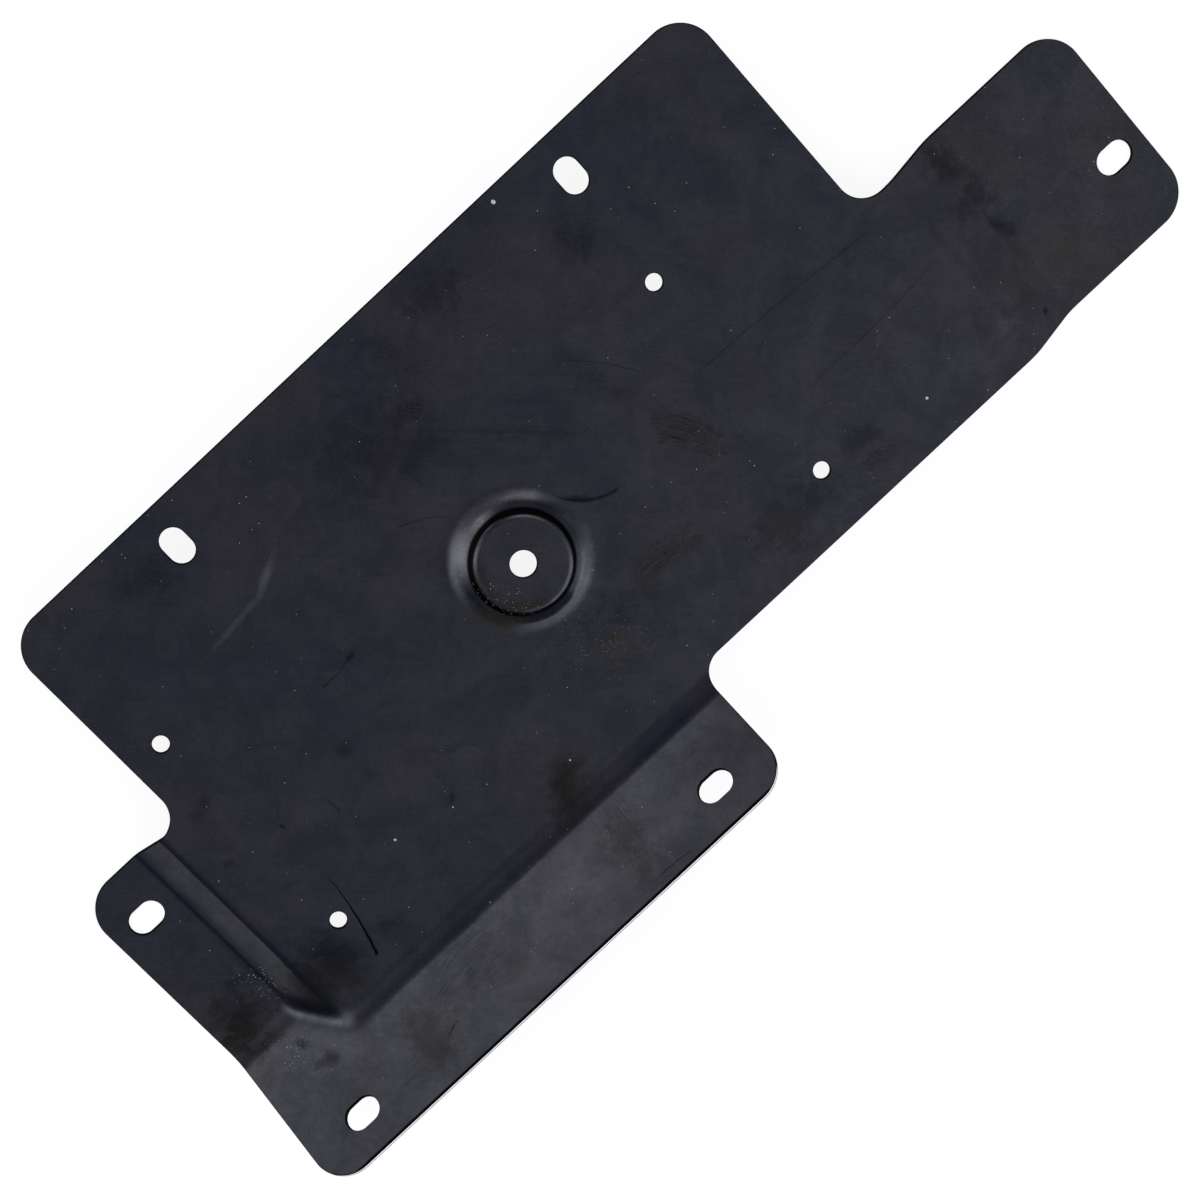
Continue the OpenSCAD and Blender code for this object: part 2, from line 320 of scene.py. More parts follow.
def clear_of(points, loop, gap):
    """Which points lie more than gap from a closed line."""
    start = loop[None]
    along = (np.roll(loop, -1, axis=0) - loop)[None]
    to = points[:, None] - start
    share = np.clip((to * along).sum(axis=2) / (along**2).sum(axis=2), 0, 1)
    return np.linalg.norm(to - share[..., None] * along, axis=2).min(axis=1) > gap


def bend_marks(step, sign):
    """The x values across a foot's step, close together in its two bends."""
    half = SHEET / 2
    angle = math.radians(step["angle"])
    first, second = step["bend"] + half, step["bend"] - half
    run = step_run(angle, first, second, step["drop"])
    turn = np.linspace(0, angle, BEND_POINTS)
    across = np.concatenate([first * np.sin(turn), run - second * np.sin(turn)])
    return np.sort(step["start"] + sign * across)


def ring_radii():
    """The radii across the boss's wall, close together in its roundings."""
    foot = SEAT_POINTS
    flare = SEAT_POINTS + FOOT_POINTS
    return SEAT_RADIUS + np.concatenate([BOSS_OUT[:foot:4], BOSS_OUT[foot:flare:3], BOSS_OUT[flare::4]])


def grid_of(xs, vs):
    """All the points with an x out of xs and a v out of vs."""
    x, v = np.meshgrid(xs, vs)
    return np.stack([x.ravel(), v.ravel()], axis=1)


def column_of(x, low, high, count):
    return np.stack([np.full(count, x), np.linspace(low, high, count)], axis=1)


def flat_points(strip_marks, tab_marks, low, high):
    """A coarse grid over the sheet, clear of the steps, the fold and the boss."""
    grid = grid_of(np.arange(STRIP_EDGE, TAB_EDGE, FLAT_SPACING), np.arange(low, high, FLAT_SPACING))
    x = grid[:, 0]
    y = true_y(grid[:, 1])
    start = fold_start(drop_at(x))
    reach = FOLD_RADIUS * math.sin(FLANGE_ANGLE)
    from_boss = np.hypot(x - BOSS[0], grid[:, 1] - BOSS[1])
    in_strip_step = (x > strip_marks[0] - 1) & (x < strip_marks[-1] + 1)
    in_tab_step = (x > tab_marks[0] - 1) & (x < tab_marks[-1] + 1)
    in_fold = (y < start + 1) & (y > start - reach - 1) & (x < FOLD_END + 1)
    return grid[~(in_strip_step | in_tab_step | in_fold | (from_boss < BOSS_REACH))]


def drawn_corner_points():
    """A fine grid over the drawn corner's round reach."""
    grid = grid_of(np.arange(-26.3, 6, DRAWN_SPACING), np.arange(-17.2, 16, DRAWN_SPACING))
    off_x = grid[:, 0] - DRAWN_CORNER[0]
    off_y = true_y(grid[:, 1]) - DRAWN_CORNER[1]
    return grid[np.hypot(off_x, off_y) < DRAWN_REACH]


def inner_points():
    """The mesh's points inside the outline, close together where the sheet bends."""
    low, high = -FOLD_OUT - FLANGE_WIDTH, PLATE_WIDTH
    strip_marks = bend_marks(STRIP_STEP, -1)
    tab_marks = bend_marks(TAB_STEP, 1)
    sets = [flat_points(strip_marks, tab_marks, low, high)]
    sets += [column_of(x, low, STRIP_TOP + 8, STRIP_POINTS) for x in strip_marks]
    sets += [column_of(x, 1, TAB_WIDTH - 1, TAB_POINTS) for x in tab_marks]
    sets.append(drawn_corner_points())
    on_strip = np.arange(STRIP_EDGE + 1, strip_marks[0], FOLD_SPACING)
    on_plate = np.arange(-FOLD_SPACING, FOLD_END, FOLD_SPACING)
    columns = np.concatenate([on_strip, strip_marks, on_plate])
    for turn in np.linspace(0, FLANGE_ANGLE, BEND_POINTS):
        y = fold_start(drop_at(columns)) - FOLD_RADIUS * math.sin(turn)
        sets.append(np.stack([columns, flat_v(y)], axis=1))
    around = np.radians(np.linspace(0, 360, RING_POINTS, endpoint=False))
    ring = np.stack([np.cos(around), np.sin(around)], axis=1)
    on_seat = [6.5, 9.2]
    for radius in [*on_seat, *ring_radii(), BOSS_REACH + 0.4]:
        sets.append(BOSS[:2] + radius * ring)
    return np.vstack(sets)


def triangles_of(points, loops):
    """Triangles over the points of the sheet, none of them outside it or across a hole."""
    merged_within = 1e-5
    edges = []
    base = 0
    for loop in loops:
        edges += [(base + i, base + (i + 1) % len(loop)) for i in range(len(loop))]
        base += len(loop)
    made = delaunay_2d_cdt([Vector(p) for p in points.tolist()], edges, [], 0, merged_within)
    spots = np.array([tuple(p) for p in made[0]])
    faces = np.array([face for face in made[2] if len(face) == 3])
    middle = spots[faces].mean(axis=1)
    kept = inside(middle, loops[0])
    for loop in loops[1:]:
        kept &= ~inside(middle, loop)
    first = np.array([origin[0] for origin in made[3]])
    return first[faces[kept]]


def points_within(rims):
    """The inner points that lie on the sheet and clear of its edges, each once."""
    points = inner_points()
    keep = inside(points, rims[0])
    for rim in rims:
        keep[keep] = clear_of(points[keep], rim, RIM_GAP)
    for rim in rims[1:]:
        keep[keep] = ~inside(points[keep], rim)
    _, unique = np.unique(np.round(points[keep], 2), axis=0, return_index=True)
    return points[keep][unique]


def wall_rows(loop, side):
    """The rows of points down one rounded wall, with their normals, share of rim and share of depth."""
    centre, normal = on_sheet(loop)
    nudge = 0.05  # the short way into the sheet along which the wall's direction is taken
    inward = on_sheet(loop + nudge * side)[0] - centre
    inward -= (inward * normal).sum(axis=1, keepdims=True) * normal
    inward /= np.linalg.norm(inward, axis=1, keepdims=True)
    quarter = np.radians([30, 60, 90])
    for turn, bottom in [(t, False) for t in quarter] + [(t, True) for t in quarter[::-1]]:
        inset = EDGE_ROUNDING * (1 - math.sin(turn))
        sunk = EDGE_ROUNDING * (1 - math.cos(turn))
        depth = SHEET - sunk if bottom else sunk
        facing = -1 if bottom else 1
        out = facing * math.cos(turn) * normal - math.sin(turn) * inward
        yield on_sheet(loop + inset * side, depth)[0], out, math.sin(turn), depth / SHEET


def sheet_mesh():
    """The bracket's mesh: upper and lower face, and rounded walls round the outline and holes."""
    loops = [outline()]
    loops += [round_hole(x, y, radius) for x, y, radius in ROUND_HOLES]
    loops += [slot_hole(x, v, along) for x, v, along in SLOTS]
    sides = [side_directions(loop) for loop in loops]
    rims = [loop + EDGE_ROUNDING * side for loop, side in zip(loops, sides)]
    face_points = np.vstack(rims + [points_within(rims)])
    triangles = triangles_of(face_points, rims)

    upper, up = on_sheet(face_points)
    lower, _ = on_sheet(face_points, SHEET)
    places = [upper, lower]
    normals = [up, -up]
    rim_share = [np.zeros(len(upper)), np.zeros(len(lower))]
    depth_share = [np.zeros(len(upper)), np.ones(len(lower))]
    faces = triangles.tolist() + (triangles[:, ::-1] + len(upper)).tolist()

    count = 2 * len(upper)
    base = 0
    for loop, side in zip(loops, sides):
        size = len(loop)
        rows = [np.arange(base, base + size)]
        for row_places, row_normals, rim, depth in wall_rows(loop, side):
            places.append(row_places)
            normals.append(row_normals)
            rim_share.append(np.full(size, rim))
            depth_share.append(np.full(size, depth))
            rows.append(np.arange(count, count + size))
            count += size
        rows.append(np.arange(base, base + size) + len(upper))
        for row, below in zip(rows, rows[1:]):
            faces += np.stack([row, below, np.roll(below, -1), np.roll(row, -1)], axis=1).tolist()
        base += size

    mesh = bpy.data.meshes.new("bracket")
    mesh.from_pydata(((np.vstack(places) - BOSS) / 1000).tolist(), [], faces)
    mesh.polygons.foreach_set("use_smooth", [True] * len(mesh.polygons))
    mesh.normals_split_custom_set_from_vertices(np.vstack(normals).tolist())
    for name, shares in (("rim", rim_share), ("depth", depth_share)):
        mesh.attributes.new(name, "FLOAT", "POINT").data.foreach_set("value", np.concatenate(shares))
    mesh.validate()
    return mesh


bracket = bpy.data.objects.new("bracket", sheet_mesh())
bpy.context.scene.collection.objects.link(bracket)
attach(bracket, "root")
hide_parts("bracket_sheet")


def empty_tree(owner):
    """The node tree of a material or world, with nothing in it."""
    owner.use_nodes = True
    owner.node_tree.nodes.clear()
    return owner.node_tree


def feed(tree, socket, value):
    """Gives an input its link or its value."""
    if isinstance(value, bpy.types.NodeSocket):
        tree.links.new(value, socket)
    else:
        socket.default_value = value


def node(tree, kind, values=None, **settings):
    """A new node of that kind, with its settings and its inputs' values or links."""
    made = tree.nodes.new(kind)
    for name, value in settings.items():
        setattr(made, name, value)
    for name, value in (values or {}).items():
        feed(tree, made.inputs[name], value)
    return made


def maths(tree, operation, *values):
    made = node(tree, "ShaderNodeMath", dict(enumerate(values)), operation=operation)
    return made.outputs[0]


def in_turn(tree, operation, values):
    """The result of one maths operation over all the values, one after another."""
    total, *others = values
    for value in others:
        total = maths(tree, operation, total, value)
    return total


def product(tree, *values):
    return in_turn(tree, "MULTIPLY", values)


def largest(tree, *values):
    return in_turn(tree, "MAXIMUM", values)


def arrows(tree, operation, *values):
    made = node(tree, "ShaderNodeVectorMath", dict(enumerate(values)), operation=operation)
    return made.outputs["Value" if operation in ("DOT_PRODUCT", "LENGTH", "DISTANCE") else "Vector"]


def fade(tree, value, low, high, to_low=0.0, to_high=1.0):
    """A smooth passage from to_low to to_high as value goes from low to high."""
    values = {"Value": value, "From Min": low, "From Max": high, "To Min": to_low, "To Max": to_high}
    return node(tree, "ShaderNodeMapRange", values, interpolation_type="SMOOTHSTEP").outputs["Result"]


def noise(tree, place, scale, detail=3.0, roughness=0.5, distortion=0.0):
    values = {"Vector": place, "Scale": scale, "Detail": detail, "Roughness": roughness}
    return node(tree, "ShaderNodeTexNoise", values | {"Distortion": distortion}).outputs["Fac"]


def blend_colours(tree, share, first, second):
    made = node(tree, "ShaderNodeMix", data_type="RGBA")
    for name, value in (("Factor_Float", share), ("A_Color", first), ("B_Color", second)):
        feed(tree, next(s for s in made.inputs if s.identifier == name), value)
    return next(s for s in made.outputs if s.identifier == "Result_Color")


KINDS = {"float": "NodeSocketFloat", "vector": "NodeSocketVector"}


def new_group(name, inputs, outputs):
    """An empty node group, its given values and its results; inputs and outputs are {name: kind}."""
    tree = bpy.data.node_groups.new(name, "ShaderNodeTree")
    for label, kind in inputs.items():
        tree.interface.new_socket(name=label, in_out="INPUT", socket_type=KINDS[kind])
    for label, kind in outputs.items():
        tree.interface.new_socket(name=label, in_out="OUTPUT", socket_type=KINDS[kind])
    return tree, tree.nodes.new("NodeGroupInput").outputs, tree.nodes.new("NodeGroupOutput").inputs


def use_group(tree, group, values):
    return node(tree, "ShaderNodeGroup", values, node_tree=group).outputs


def blend_shaders(tree, share, first, second):
    """The first node's shader, and the second's as far as share says."""
    values = {0: share, 1: first.outputs[0], 2: second.outputs[0]}
    return node(tree, "ShaderNodeMixShader", values)


def mark_group():
    """A ragged oval patch: plain, rubbed into streaks along its length, or with a finger's ridges.

    Places and sizes are in millimetres. Ragged is a noise that breaks up the patch's edge.
    """
    tree, given, result = new_group(
        "mark",
        {
            "Place": "vector",
            "Ragged": "float",
            "Centre": "vector",
            "Length": "float",
            "Width": "float",
            "Turn": "float",
            "Breakup": "float",
        },
        {"Plain": "float", "Streaked": "float", "Ridged": "float"},
    )
    moved = arrows(tree, "SUBTRACT", given["Place"], given["Centre"])
    back = maths(tree, "MULTIPLY", given["Turn"], -1.0)
    turned = node(tree, "ShaderNodeVectorRotate", {"Vector": moved, "Angle": back}).outputs["Vector"]
    reach = 40.0  # in z, far past the sheet's own height at a mark
    size = node(tree, "ShaderNodeCombineXYZ", {"X": given["Length"], "Y": given["Width"], "Z": reach})
    scaled = arrows(tree, "DIVIDE", turned, size.outputs["Vector"])
    distance = arrows(tree, "LENGTH", scaled)
    ragged = product(tree, maths(tree, "SUBTRACT", given["Ragged"], 0.5), given["Breakup"], 0.7)
    plain = fade(tree, maths(tree, "ADD", distance, ragged), 1.25, 0.1)
    tree.links.new(plain, result["Plain"])

    # streaks bend a little, as a hand's wipe does
    parts = node(tree, "ShaderNodeSeparateXYZ", {"Vector": turned})
    bow = product(tree, parts.outputs["X"], parts.outputs["X"], 0.012)
    across = maths(tree, "ADD", parts.outputs["Y"], bow)
    lined = node(tree, "ShaderNodeCombineXYZ", {"X": product(tree, parts.outputs["X"], 0.05), "Y": across})
    streaks = noise(tree, lined.outputs["Vector"], 2.4, 3.0, 0.75)
    tree.links.new(product(tree, plain, fade(tree, streaks, 0.38, 0.62, 0.05, 1.0)), result["Streaked"])

    # ridges run round a centre beside the patch's own
    beside = arrows(tree, "ADD", turned, (1.5, 2.5, 0.0))
    whorl = arrows(tree, "LENGTH", arrows(tree, "MULTIPLY", beside, (0.8, 1.15, 0.0)))
    uneven = maths(tree, "MULTIPLY_ADD", given["Ragged"], 5.0, whorl)
    ridges = maths(tree, "SINE", product(tree, uneven, 5.4))
    tree.links.new(product(tree, plain, fade(tree, ridges, -0.7, 0.9, 0.3, 1.0)), result["Ridged"])
    return tree


def scratch_group():
    """A thin, bent line that widens from one place to another. Places and sizes are in millimetres."""
    tree, given, result = new_group(
        "scratch",
        {
            "Place": "vector",
            "Wobble": "float",
            "Start": "vector",
            "End": "vector",
            "Bow": "float",
            "Width": "float",
            "Taper": "float",
        },
        {"Mask": "float"},
    )
    chord = arrows(tree, "SUBTRACT", given["End"], given["Start"])
    length = arrows(tree, "LENGTH", chord)
    ahead = arrows(tree, "NORMALIZE", chord)
    sideways = arrows(tree, "CROSS_PRODUCT", (0.0, 0.0, 1.0), ahead)
    place = arrows(tree, "SUBTRACT", given["Place"], given["Start"])
    share = maths(tree, "DIVIDE", arrows(tree, "DOT_PRODUCT", place, ahead), length)
    off = arrows(tree, "DOT_PRODUCT", place, sideways)
    arch = product(tree, share, maths(tree, "SUBTRACT", 1.0, share), 4.0, given["Bow"])
    off = maths(tree, "ADD", maths(tree, "SUBTRACT", off, arch), given["Wobble"])
    within = product(tree, fade(tree, share, -0.01, 0.05), fade(tree, share, 1.01, 0.97))
    thin = maths(tree, "POWER", maths(tree, "MAXIMUM", share, 0.001), given["Taper"])
    width = maths(tree, "MULTIPLY", given["Width"], thin)
    line = fade(tree, maths(tree, "DIVIDE", maths(tree, "ABSOLUTE", off), width), 1.1, 0.1)
    tree.links.new(product(tree, line, within), result["Mask"])
    return tree


def speck_group():
    """Tiny grains of dust, scattered at random. Amount is the share of cells that hold one."""
    tree, given, result = new_group(
        "specks",
        {"Place": "vector", "Cell": "float", "Radius": "float", "Amount": "float"},
        {"Mask": "float"},
    )
    scale = maths(tree, "DIVIDE", 1.0, given["Cell"])
    values = {"Vector": given["Place"], "Scale": scale}
    cells = node(tree, "ShaderNodeTexVoronoi", values, voronoi_dimensions="2D")
    distance = maths(tree, "MULTIPLY", cells.outputs["Distance"], given["Cell"])
    chance = node(tree, "ShaderNodeSeparateColor", {"Color": cells.outputs["Color"]})
    held = maths(tree, "LESS_THAN", chance.outputs["Red"], given["Amount"])
    share = fade(tree, chance.outputs["Green"], 0.0, 1.0, 0.45, 1.0)
    size = maths(tree, "MULTIPLY", given["Radius"], share)
    grain = fade(tree, maths(tree, "DIVIDE", distance, size), 1.0, 0.4)
    pale = fade(tree, chance.outputs["Blue"], 0.0, 1.0, 0.25, 1.0)
    tree.links.new(product(tree, grain, held, pale), result["Mask"])
    return tree


MARK = mark_group()
SCRATCH = scratch_group()
SPECKS = speck_group()


# Each mark is (x, y, z, length, width, turn in degrees, strength, breakup). The sizes are from the
# middle to the end, and the places are in the sheet's layout.
DARK_MARKS = [
    (101.3, 97.9, 0.0, 21.2, 13.8, -8, 0.4, 1.2),
    (137.0, 117.1, 0.0, 10.4, 7.9, -43, 0.4, 1.5),
    (76.1, 0.6, 0.0, 11.0, 7.0, -128, 0.85, 0.9),
    (-5.6, 8.5, 0.0, 10.8, 6.8, -95, 0.75, 1.1),
    (-27.8, 12.1, -9.0, 12.7, 7.8, -124, 0.75, 1.2),
    (1.0, 47.2, 0.0, 2.0, 1.9, -45, 0.8, 1.2),
    (17.0, 44.8, 0.0, 1.3, 0.8, -90, 0.8, 0.8),
    (59.7, 64.8, 0.0, 2.0, 1.0, 7, 0.9, 0.6),
    (53.3, 19.9, 0.0, 3.2, 1.0, -133, 0.6, 0.8),
    (129.3, 54.4, 0.0, 5.0, 1.1, -46, 0.9, 0.5),
    (1.5, 9.5, 0.0, 12.0, 9.0, -75, 0.75, 0.8),
    # this smudge is also painted shade, set over the drawn corner's highlight to dim it
    (-12.0, 2.5, 0.0, 10.0, 4.0, -45, 0.75, 0.5),
    (255.0, 51.0, -9.0, 9.5, 5.0, -76, 0.55, 1.5),
    (257.5, 40.1, -9.0, 7.5, 4.6, -100, 0.6, 1.5),
    (251.3, 38.9, -9.0, 6.0, 3.6, -43, 0.4, 1.6),
    (256.7, 29.0, -9.0, 7.5, 2.0, -66, 0.55, 1.2),
    (249.3, 13.7, -9.0, 9.0, 3.2, -120, 0.3, 1.5),
    (250.7, 5.5, -9.0, 1.5, 1.1, -130, 0.8, 0.5),
    (7.2, -19.8, 12.4, 7.2, 6.3, -36, 0.3, 1.6),
    (116.0, -20.0, 12.0, 14.0, 20.0, 0, 0.16, 0.8),
    (-24.0, -20.0, 12.0, 24.0, 20.0, 0, 0.24, 0.8),
    (-17.8, -8.2, 2.4, 4.1, 1.9, -19, 0.75, 1.3),
    (-20.5, -2.1, -2.9, 2.6, 1.6, -36, 0.7, 1.3),
    (166.3, 13.6, 0.0, 13.3, 7.4, -8, 0.35, 2.2),
    (42.2, 48.1, 0.0, 2.5, 2.1, -44, 0.4, 1.3),
    (234.0, 13.3, 0.0, 6.8, 4.1, -100, 0.3, 1.6),
    (192.4, 15.5, 0.0, 7.7, 4.2, -13, 0.35, 1.8),
    (117.8, 25.8, 0.0, 12.8, 5.3, -8, 0.35, 1.8),
]
STREAKED_MARKS = [
    (161.6, 47.3, 0.0, 12.0, 5.6, -63, 0.9, 1.3),
    (153.8, 68.5, 0.0, 15.9, 3.5, -67, 0.45, 1.4),
    (134.7, 29.0, 0.0, 12.3, 4.5, -7, 0.9, 1.3),
    (130.0, 77.1, 0.0, 25.4, 2.0, -44, 0.5, 1.4),
    (167.3, 10.8, 0.0, 15.4, 6.9, -3, 0.5, 1.8),
    (193.3, 9.3, 0.0, 8.3, 3.2, -18, 0.5, 1.6),
    (79.2, -15.5, 8.7, 10.6, 6.8, -98, 0.5, 1.4),
    (108.8, -15.8, 8.9, 8.2, 5.1, 2, 0.3, 1.6),
    (27.8, -13.4, 6.9, 15.5, 8.5, 2, 0.4, 1.6),
]
FINGER_MARKS = [
    (119.7, 112.0, 0.0, 9.9, 8.4, -53, 0.5, 1.2),
    (111.4, 100.7, 0.0, 6.5, 8.0, -43, 0.8, 1.1),
    (172.7, 102.4, 0.0, 7.9, 7.5, -102, 0.6, 1.2),
    (38.1, 114.2, 0.0, 9.4, 7.1, -44, 0.6, 1.2),
    (18.9, 5.8, 0.0, 5.2, 3.8, -24, 0.6, 1.2),
    (5.1, 62.4, 0.0, 6.2, 2.5, 27, 0.6, 1.2),
]
BROWN_MARKS = [
    (110.0, 20.3, 0.0, 7.2, 5.3, -13, 0.8, 1.6),
    (136.3, 28.9, 0.0, 11.2, 5.3, -7, 0.5, 1.6),
    (162.1, 44.0, 0.0, 9.4, 4.6, -63, 0.5, 1.5),
    (266.4, 10.5, -9.0, 17.0, 8.5, -38, 0.85, 1.3),
    (290.4, 24.3, -9.0, 16.1, 14.7, -42, 0.35, 1.5),
    (40.4, -19.8, 12.5, 13.4, 12.3, -2, 0.22, 1.6),
    (7.2, -19.8, 12.4, 9.4, 8.4, -36, 0.8, 1.4),
    (78.1, -19.7, 12.4, 12.5, 9.0, -92, 0.3, 1.6),
    (262.0, 48.0, -9.0, 16.0, 8.0, -60, 0.5, 1.5),
    (-29.3, 9.7, -9.0, 11.0, 7.8, -106, 0.8, 1.4),
    (-4.5, 6.3, 0.0, 10.9, 8.2, -45, 0.6, 1.4),
    (249.5, 15.3, -9.0, 5.3, 8.7, -43, 0.5, 1.6),
    (94.0, 45.5, 1.0, 9.5, 4.0, -62, 0.8, 1.0),
    (77.0, 1.0, 0.0, 11.0, 7.0, -128, 0.7, 0.9),
]
PALE_MARKS = [
    (58.8, 94.4, 0.0, 7.1, 1.5, 29, 0.9, 0.6),
    (45.5, 90.9, 0.0, 12.1, 1.0, 7, 0.35, 1.0),
    (54.8, -17.9, 10.8, 15.5, 5.6, -1, 0.25, 1.6),
    (237.7, 11.6, 0.0, 10.2, 4.2, -3, 0.2, 1.6),
]
DUSTY_MARKS = [
    (-16.7, 16.5, -9.0, 7.0, 5.3, -86, 1.0, 1.2),
    (98.6, 48.5, 6.0, 10.0, 4.0, -66, 1.0, 1.0),
    (-23.7, -1.8, -3.2, 7.4, 4.3, -35, 0.7, 1.5),
    (108.8, 23.6, 0.0, 15.5, 9.0, -24, 0.2, 1.6),
]
# Each scratch is (start, end, bow, width at its end, taper, strength).
SCRATCHES = [
    ((16.4, 30.2, 0.0), (10.6, 2.3, 0.0), 1.0, 0.75, 1.0, 1.0),
    ((125.4, 58.8, 0.0), (138.4, 49.3, 0.0), -1.9, 0.75, 0.3, 0.65),
    ((170.3, 57.1, 0.0), (229.2, 53.7, 0.0), 0.6, 0.55, 0.2, 0.25),
    ((193.9, 35.1, 0.0), (235.5, 36.4, 0.0), -0.8, 0.7, 0.2, 0.2),
    ((59.7, 64.8, 0.0), (49.1, 63.9, 0.0), 0.5, 0.25, 0.1, 0.6),
    ((102.9, 73.1, 0.0), (91.1, 80.4, 0.0), -1.0, 0.25, 0.3, 0.5),
    ((29.7, 42.3, 0.0), (30.1, 37.2, 0.0), 0.2, 0.25, 0.2, 0.6),
    ((112.7, 93.6, 0.0), (137.2, 69.9, 0.0), 0.4, 0.2, 0.2, 0.3),
    ((148.8, 84.1, 0.0), (162.4, 67.4, 0.0), 0.8, 0.25, 0.4, 0.5),
    ((77.5, -27.6, 19.2), (88.9, -28.3, 19.8), 0.2, 0.2, 0.2, 0.6),
    ((10.2, -22.7, 15.0), (15.5, -21.0, 13.5), 0.3, 0.25, 0.2, 0.6),
    ((88.3, 5.0, 0.0), (78.6, 6.0, 0.0), 0.2, 0.2, 0.2, 0.4),
]
# Each chip is (x, y, z, radius).
CHIPS = [
    (163.6, 123.4, 0.0, 0.7),
    (51.7, 17.8, 0.0, 0.35),
    (239.7, 24.3, -0.4, 0.3),
    (212.3, 11.5, 0.0, 0.4),
    (35.1, 21.9, 0.0, 0.3),
    (81.9, 5.7, 0.0, 0.3),
]

BLUE_BLACK = (0.003, 0.0052, 0.0092, 1)
GREY_BLACK = (0.0078, 0.0066, 0.0104, 1)
BROWN = (0.0145, 0.0125, 0.0105, 1)
PALE = (0.03, 0.03, 0.034, 1)
# also the colour of the painted shade in the boss's groove and on the cut edges
SOOT_AND_SHADE = (0.001, 0.001, 0.001, 1)
DUST = (0.5, 0.49, 0.47, 1)
BARE = (0.36, 0.35, 0.33, 1)
# bare steel made nearly white, which also serves as a painted highlight on the flange's outer edge
BRIGHT_STEEL_AND_GLINT = (0.92, 0.92, 0.92, 1)
WHITE = (1, 1, 1, 1)

# All marks are drawn this much stronger than their rows say, up to full strength.
MARK_STRENGTH = 1.3
# The coat's slow waves and its fine skin, in metres.
WAVE_HEIGHT = 0.0005
SKIN_HEIGHT = 0.000004


def all_marks(tree, place, ragged, rows, form="Plain"):
    """One mask of all the smudges in the rows."""
    masks = []
    for x, y, z, length, width, turn, strength, breakup in rows:
        values = {
            "Place": place,
            "Ragged": ragged,
            "Centre": (x, y, z),
            "Length": length,
            "Width": width,
            "Turn": math.radians(turn),
            "Breakup": breakup,
        }
        shown = min(MARK_STRENGTH * strength, 1.0)
        masks.append(maths(tree, "MULTIPLY", use_group(tree, MARK, values)[form], shown))
    return largest(tree, *masks)


def all_scratches(tree, place):
    wobble = maths(tree, "MULTIPLY", maths(tree, "SUBTRACT", noise(tree, place, 0.35, 2.0), 0.5), 0.5)
    masks = []
    for start, end, bow, width, taper, strength in SCRATCHES:
        values = {
            "Place": place,
            "Wobble": wobble,
            "Start": start,
            "End": end,
            "Bow": bow,
            "Width": width,
            "Taper": taper,
        }
        masks.append(maths(tree, "MULTIPLY", use_group(tree, SCRATCH, values)["Mask"], strength))
    return largest(tree, *masks)


def all_chips(tree, place, ragged):
    masks = []
    for x, y, z, radius in CHIPS:
        share = maths(tree, "DIVIDE", arrows(tree, "DISTANCE", place, (x, y, z)), radius)
        masks.append(fade(tree, maths(tree, "MULTIPLY_ADD", ragged, 0.8, share), 1.4, 1.15))
    return largest(tree, *masks)


def specks(tree, place, cell, radius, amount):
    values = {"Place": place, "Cell": cell, "Radius": radius, "Amount": amount}
    return use_group(tree, SPECKS, values)["Mask"]


def boss_masks(tree, place, ragged):
    """Painted shade at the foot of the boss's wall, dirt on the low side of its edge, and a painted
    highlight on its flare.
    """
    beside = arrows(tree, "SUBTRACT", place, BOSS)
    from_boss = arrows(tree, "LENGTH", arrows(tree, "MULTIPLY", beside, (1, 1, 0)))
    away = arrows(tree, "NORMALIZE", beside)
    # painted shade: a dark, dull ring in the groove at the foot of the boss's wall
    groove_shade = product(tree, fade(tree, from_boss, 12.3, 12.9), fade(tree, from_boss, 14.4, 13.7))
    low_side = fade(tree, arrows(tree, "DOT_PRODUCT", away, (-0.93, -0.36, 0.0)), 0.3, 0.75)
    lip = product(tree, fade(tree, from_boss, 8.8, 10.6), fade(tree, from_boss, 12.9, 12.4), low_side)
    lip = maths(tree, "MULTIPLY", lip, fade(tree, ragged, 0.1, 0.6, 0.4, 1.0))
    # painted highlight: a pale tint on the side of the flare that faces the lights
    far_side = fade(tree, arrows(tree, "DOT_PRODUCT", away, (-0.35, 0.93, 0.0)), 0.5, 0.95)
    flare_highlight = product(tree, fade(tree, from_boss, 13.6, 15.6), fade(tree, from_boss, 19.5, 16.5), far_side)
    return groove_shade, lip, flare_highlight


def edge_masks(tree, place, rim):
    """The bright, bare strip on the flange's outer edge, which is also a painted highlight, and painted
    black shade on the other cut edges and along the flange's tip.
    """
    depth = node(tree, "ShaderNodeAttribute", attribute_name="depth").outputs["Fac"]
    level = node(tree, "ShaderNodeSeparateXYZ", {"Vector": place}).outputs["Y"]
    tip = -FOLD_OUT - FLANGE_WIDTH * math.cos(FLANGE_ANGLE)
    strip = product(tree, fade(tree, depth, 0.17, 0.21), fade(tree, depth, 0.62, 0.56))
    # the bright strip is bare steel and also a painted highlight along the flange's outer edge
    bare = product(tree, strip, fade(tree, level, tip + 2.9, tip + 1.9))
    # painted shade: black, dull cut walls and a black line along the flange's tip
    black = largest(tree, fade(tree, rim, 0.03, 0.2), fade(tree, level, tip + 0.65, tip + 0.45))
    return bare, product(tree, black, maths(tree, "SUBTRACT", 1.0, bare))


